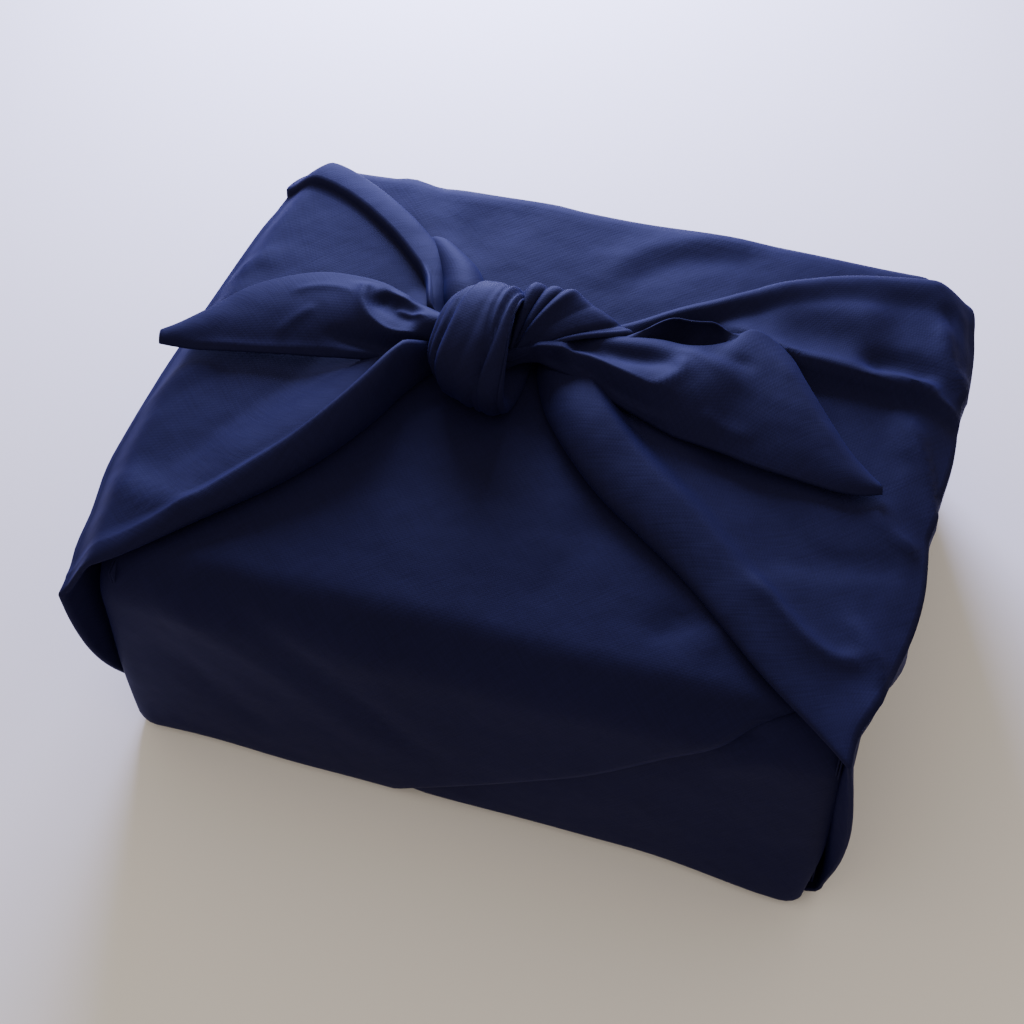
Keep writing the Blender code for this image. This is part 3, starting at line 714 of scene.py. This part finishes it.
rightTail = {
    "sections": [
        (-24, 15, 146, -22, 26, 149, 6),
        (-10, 22, 149, -8, 32, 152, 5),
        (4, 21, 149, 6, 38, 153, 5),
        (20, 16, 148, 20, 43, 153, 6),
        (36, 10, 146, 34, 46, 153, 7),
        (52, 5, 144, 48, 48, 153, 8),
        (66, 0, 144, 63, 48, 153, 8),
        (79, -2, 144, 77, 55, 152, 8),
        (91, -4, 144, 89, 69, 150, 7),
        (105, -7, 144, 107, 60, 148, 6),
        (120, -9, 144, 119, 45, 147, 5),
        (134, -10, 143, 132, 28, 146, 4),
        (146, -11, 143, 145, 12, 145, 3),
        (156, -10, 143, 156, 2, 144, 2),
        (164, -7, 143, 163, -3, 143, 1),
    ],
    "folds": [
        {"path": [(-10, 26), (3, 28), (16, 28), (33, 23), (50, 19), (72, 16)],
         "width": 3.5, "height": 3.0, "crisp": 0.6, "fade": (0.05, 0.4)},
        {"path": [(4, 32), (18, 33), (34, 33), (52, 34), (68, 32)], "width": 6, "height": -5.0, "crisp": 0,
         "fade": (0.1, 0.4)},
        {"path": [(50, 17), (58, 23), (62, 31), (60, 40)], "width": 3.5, "height": 1.8, "crisp": 0.5},
        {"path": [(-4, 25), (14, 22), (30, 16), (48, 11), (70, 7)],
         "width": 3, "height": -3.0, "fade": (0.05, 0.5)},
        {"path": [(4, 25), (24, 18), (44, 10), (72, 2)],
         "width": 2.5, "height": 1.8, "fade": (0.1, 0.5), "crisp": 0.6},
        {"path": [(54, 42), (70, 41), (84, 34), (96, 24)], "width": 5, "height": 1.4, "crisp": 0.6},
        {"path": [(66, 46), (80, 44), (96, 42)], "width": 4, "height": -1.2},
        {"path": [(74, 12), (88, 6), (104, 4)], "width": 4, "height": 1.0, "crisp": 0.6},
        {"path": [(96, 60), (112, 44), (128, 24), (146, 2)], "width": 4, "height": 1.0, "crisp": 0.4},
    ],
    # the pocket between the two layers where it stands widest: share from fold to rim, back, up
    "opening": [(0, 0, 0), (0.2, 0, -2), (0.4, 1, -7), (0.5, 7, -11), (0.6, 15, -13), (0.7, 22, -13),
                (0.8, 23, -9), (0.9, 20, -2), (1, 13, 5)],
    # along the tail: where the pocket starts to open, stands open, starts to close and is shut
    "openingSpan": (0.29, 0.45, 0.515, 0.605),
}


def makeTail(tail, flip):
    rows = curveThrough(tail["sections"], tailGrid["rows"])
    even = np.linspace(0, 1, tailGrid["columns"])
    share = between(0.5 - 0.5 * np.cos(np.pi * even), even, 0.4)  # closer together at both edges
    hidden = share[::2]
    pocket = curveThrough(tail["opening"], 61).T if tail["opening"] else None
    grid = []
    for way, row in zip(np.linspace(0, 1, len(rows)), rows):
        lower, upper, arch = row[:3], row[3:6], row[6]
        across = upper - lower
        rise = np.array((0, -across[2], across[1])) / np.hypot(across[1], across[2])
        face = lower + across * share[:, None]
        height = arch * 4 * share * (1 - share) + foldHeight(face[:, 0], face[:, 1], tail["folds"])
        face = face + rise * height[:, None]
        behind = face[::2] - rise * tailGrid["layerGap"]
        if tail["opening"]:
            opens, isOpen, closes, isShut = tail["openingSpan"]
            wide = ramp(way, opens, isOpen) * ramp(way, isShut, closes)
            behind[:, 1] += wide * np.interp(hidden, pocket[0], pocket[1])
            behind[:, 2] += wide * np.interp(hidden, pocket[0], pocket[2])
        outward = across / np.linalg.norm(across) * tailGrid["fold"]
        section = [face[::-1], (face[:1] + behind[:1]) / 2 - outward, behind]
        if not tail["opening"]:
            section.append((face[-1:] + behind[-1:]) / 2 + outward)
        grid.append(np.vstack(section))
    addPanel(np.array(grid), closed=not tail["opening"], flip=flip)


makeTail(leftTail, flip=True)
makeTail(rightTail, flip=False)
print("knot tied")


# all panels become one mesh with a thickness
cloth = {"thickness": 0.8, "joinWithin": 0.001}


def makeCloth():
    places, faces, threads = [], [], []
    for grid, thread, closed, flip in panels:
        rows, columns = grid.shape[:2]
        start = len(places)
        places += [tuple(p) for p in grid.reshape(-1, 3) * mm]
        threads += [tuple(t) for t in thread.reshape(-1, 2)]
        last = columns if closed else columns - 1
        for row in range(rows - 1):
            for column in range(last):
                after = (column + 1) % columns
                quad = [start + row * columns + column, start + row * columns + after,
                        start + (row + 1) * columns + after, start + (row + 1) * columns + column]
                faces.append(quad[::-1] if flip else quad)
    mesh = bpy.data.meshes.new("furoshiki")
    mesh.from_pydata(places, [], faces)
    layer = mesh.uv_layers.new(name="threads")
    corner = np.zeros(len(mesh.loops), np.int32)
    mesh.loops.foreach_get("vertex_index", corner)
    layer.data.foreach_set("uv", np.array(threads)[corner].astype(np.float32).ravel() * mm)
    work = bmesh.new()
    work.from_mesh(mesh)
    bmesh.ops.remove_doubles(work, verts=work.verts, dist=cloth["joinWithin"] * mm)
    work.to_mesh(mesh)
    work.free()
    mesh.shade_smooth()
    obj = bpy.data.objects.new("furoshiki", mesh)
    bpy.context.scene.collection.objects.link(obj)
    solid = obj.modifiers.new("thickness", "SOLIDIFY")
    solid.thickness = cloth["thickness"] * mm
    solid.offset = -1
    return obj


wrap = makeCloth()
print("one mesh of", len(wrap.data.polygons), "faces, one side")


# finish
def fromHex(code):
    parts = [int(code[i:i + 2], 16) / 255 for i in (1, 3, 5)]
    return [p / 12.92 if p <= 0.04045 else ((p + 0.055) / 1.055) ** 2.4 for p in parts] + [1]


def addNode(tree, kind, values=None, **settings):
    # values: inputs by name, each a number, a colour or another node's output
    node = tree.nodes.new(kind)
    for name, value in settings.items():
        setattr(node, name, value)
    for name, value in (values or {}).items():
        if isinstance(value, bpy.types.NodeSocket):
            tree.links.new(value, node.inputs[name])
        else:
            node.inputs[name].default_value = value
    return node


# plain-weave cotton dyed with indigo: dull, nearly black in the shade, with a faint blue bloom in the light
cotton = {
    "colour": "#15152a", "worn": "#191934", "roughness": 0.7,
    "thread": 0.9,  # mm; real threads lie about 0.45 mm apart, too fine to show, so they are drawn coarser
    "bias": 45,  # degrees between the threads and the box's sides
    # mm, each as so many to the metre
    "slubLength": 1000 / 60, "slubWidth": 1000 / 900, "crumpleSize": 1000 / 30, "patchSize": 1000 / 9,
    "weave": 0.014, "slub": 0.08, "crumple": 1.8,  # relief in mm
    "patchShare": 0.5, "slubShare": 0.4, "wornFrom": 0.45, "wornFully": 0.9,
    "sheen": 0.08, "sheenRoughness": 0.5, "sheenColour": "#4048c0",
    "shine": 0.1, "shineColour": "#8c94f0",
}


def dyedCotton(values):
    material = bpy.data.materials.new("indigo dyed cotton")
    material.use_nodes = True
    tree = material.node_tree
    shader = tree.nodes["Principled BSDF"]
    place = addNode(tree, "ShaderNodeUVMap", uv_map="threads").outputs["UV"]
    turned = addNode(tree, "ShaderNodeMapping", {
        "Vector": place, "Rotation": (0, 0, math.radians(values["bias"]))}).outputs["Vector"]
    # plain weave: warp and weft swell in turn
    across = addNode(tree, "ShaderNodeSeparateXYZ", {"Vector": turned}).outputs
    pace = math.pi / (values["thread"] * mm)
    swells = []
    for axis in ("X", "Y"):
        turns = addNode(tree, "ShaderNodeMath", {0: across[axis], 1: pace}, operation="MULTIPLY")
        swells.append(addNode(tree, "ShaderNodeMath", {0: turns.outputs[0]}, operation="SINE").outputs[0])
    weave = addNode(tree, "ShaderNodeMath", {0: swells[0], 1: swells[1]}, operation="MULTIPLY").outputs[0]
    # slubs: thicker stretches of a thread, long and thin both ways
    long, thin = 1 / (values["slubLength"] * mm), 1 / (values["slubWidth"] * mm)
    slubs = []
    for scale in ((long, thin, 1), (thin, long, 1)):
        stretched = addNode(tree, "ShaderNodeMapping", {"Vector": turned, "Scale": scale}).outputs["Vector"]
        noise = addNode(tree, "ShaderNodeTexNoise", {"Vector": stretched, "Scale": 1.0, "Detail": 2.0})
        slubs.append(noise.outputs[0])
    slub = addNode(tree, "ShaderNodeMath", {0: slubs[0], 1: slubs[1]}, operation="ADD").outputs[0]
    solid = addNode(tree, "ShaderNodeTexCoord").outputs["Object"]
    crumple = addNode(tree, "ShaderNodeTexNoise", {
        "Vector": solid, "Scale": 1 / (values["crumpleSize"] * mm), "Detail": 2.0,
        "Roughness": 0.45}).outputs[0]
    patches = addNode(tree, "ShaderNodeTexNoise", {
        "Vector": solid, "Scale": 1 / (values["patchSize"] * mm), "Detail": 3.0}).outputs[0]
    # worn places: large faded patches, and the slubs' tops
    parts = []
    for pattern, part in ((patches, values["patchShare"]), (slub, values["slubShare"])):
        parts.append(addNode(tree, "ShaderNodeMath", {0: pattern, 1: part}, operation="MULTIPLY").outputs[0])
    mixed = addNode(tree, "ShaderNodeMath", {0: parts[0], 1: parts[1]}, operation="ADD").outputs[0]
    share = addNode(tree, "ShaderNodeMapRange", {
        "Value": mixed, "From Min": values["wornFrom"], "From Max": values["wornFully"]}).outputs[0]
    colour = addNode(tree, "ShaderNodeMix", {
        "Factor": share, "A": fromHex(values["colour"]), "B": fromHex(values["worn"])}, data_type="RGBA")
    tree.links.new(colour.outputs["Result"], shader.inputs["Base Color"])
    relief = None
    for height, depth in ((crumple, values["crumple"]), (slub, values["slub"]), (weave, values["weave"])):
        bump = addNode(tree, "ShaderNodeBump", {"Height": height, "Distance": depth * mm, "Strength": 1.0})
        if relief:
            tree.links.new(relief, bump.inputs["Normal"])
        relief = bump.outputs["Normal"]
    tree.links.new(relief, shader.inputs["Normal"])
    shader.inputs["Roughness"].default_value = values["roughness"]
    shader.inputs["Sheen Weight"].default_value = values["sheen"]
    shader.inputs["Sheen Roughness"].default_value = values["sheenRoughness"]
    shader.inputs["Sheen Tint"].default_value = fromHex(values["sheenColour"])
    shader.inputs["Specular IOR Level"].default_value = values["shine"]
    shader.inputs["Specular Tint"].default_value = fromHex(values["shineColour"])
    return material


wrap.data.materials.append(dyedCotton(cotton))


# floor and light: matt white paper, a soft room and one large window
studio = {
    "horizon": 0.7, "above": 0.8,  # the room's brightness all round and overhead
    "room": "#fff4ea",
    "floor": 8.0, "floorLevel": -0.0005, "floorColour": "#efebe2", "floorRoughness": 0.9,  # m
    "lamps": [("window", (-0.3, 0.78, 0.4), 0.45, 33, "#b6bcff")],  # name, place, size, power, colour
}


def makeStudio():
    mesh = bpy.data.meshes.new("floor")
    half, level = studio["floor"] / 2, studio["floorLevel"]
    corners = [(-half, -half, level), (half, -half, level), (half, half, level), (-half, half, level)]
    mesh.from_pydata(corners, [], [(0, 1, 2, 3)])
    floor = bpy.data.objects.new("floor", mesh)
    bpy.context.scene.collection.objects.link(floor)
    paper = bpy.data.materials.new("white paper")
    paper.use_nodes = True
    shader = paper.node_tree.nodes["Principled BSDF"]
    shader.inputs["Base Color"].default_value = fromHex(studio["floorColour"])
    shader.inputs["Roughness"].default_value = studio["floorRoughness"]
    mesh.materials.append(paper)
    # the room: soft light from all round, a little more from above
    world = bpy.data.worlds.new("room")
    bpy.context.scene.world = world
    world.use_nodes = True
    tree = world.node_tree
    direction = addNode(tree, "ShaderNodeTexCoord")
    parts = addNode(tree, "ShaderNodeSeparateXYZ", {"Vector": direction.outputs["Generated"]})
    brightness = addNode(tree, "ShaderNodeMapRange", {
        "Value": parts.outputs["Z"], "From Min": 0.15, "From Max": 0.6,
        "To Min": studio["horizon"], "To Max": studio["above"]}, interpolation_type="SMOOTHSTEP")
    background = tree.nodes["Background"]
    background.inputs["Color"].default_value = fromHex(studio["room"])
    tree.links.new(brightness.outputs[0], background.inputs["Strength"])
    for name, place, size, power, colour in studio["lamps"]:
        data = bpy.data.lights.new(name, "AREA")
        data.size, data.energy, data.color = size, power, fromHex(colour)[:3]
        lamp = bpy.data.objects.new(name, data)
        bpy.context.scene.collection.objects.link(lamp)
        lamp.location = place
        lamp.rotation_euler = (-lamp.location).to_track_quat("-Z", "Y").to_euler()


makeStudio()

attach(wrap, "root")
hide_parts("furoshiki_cloth")
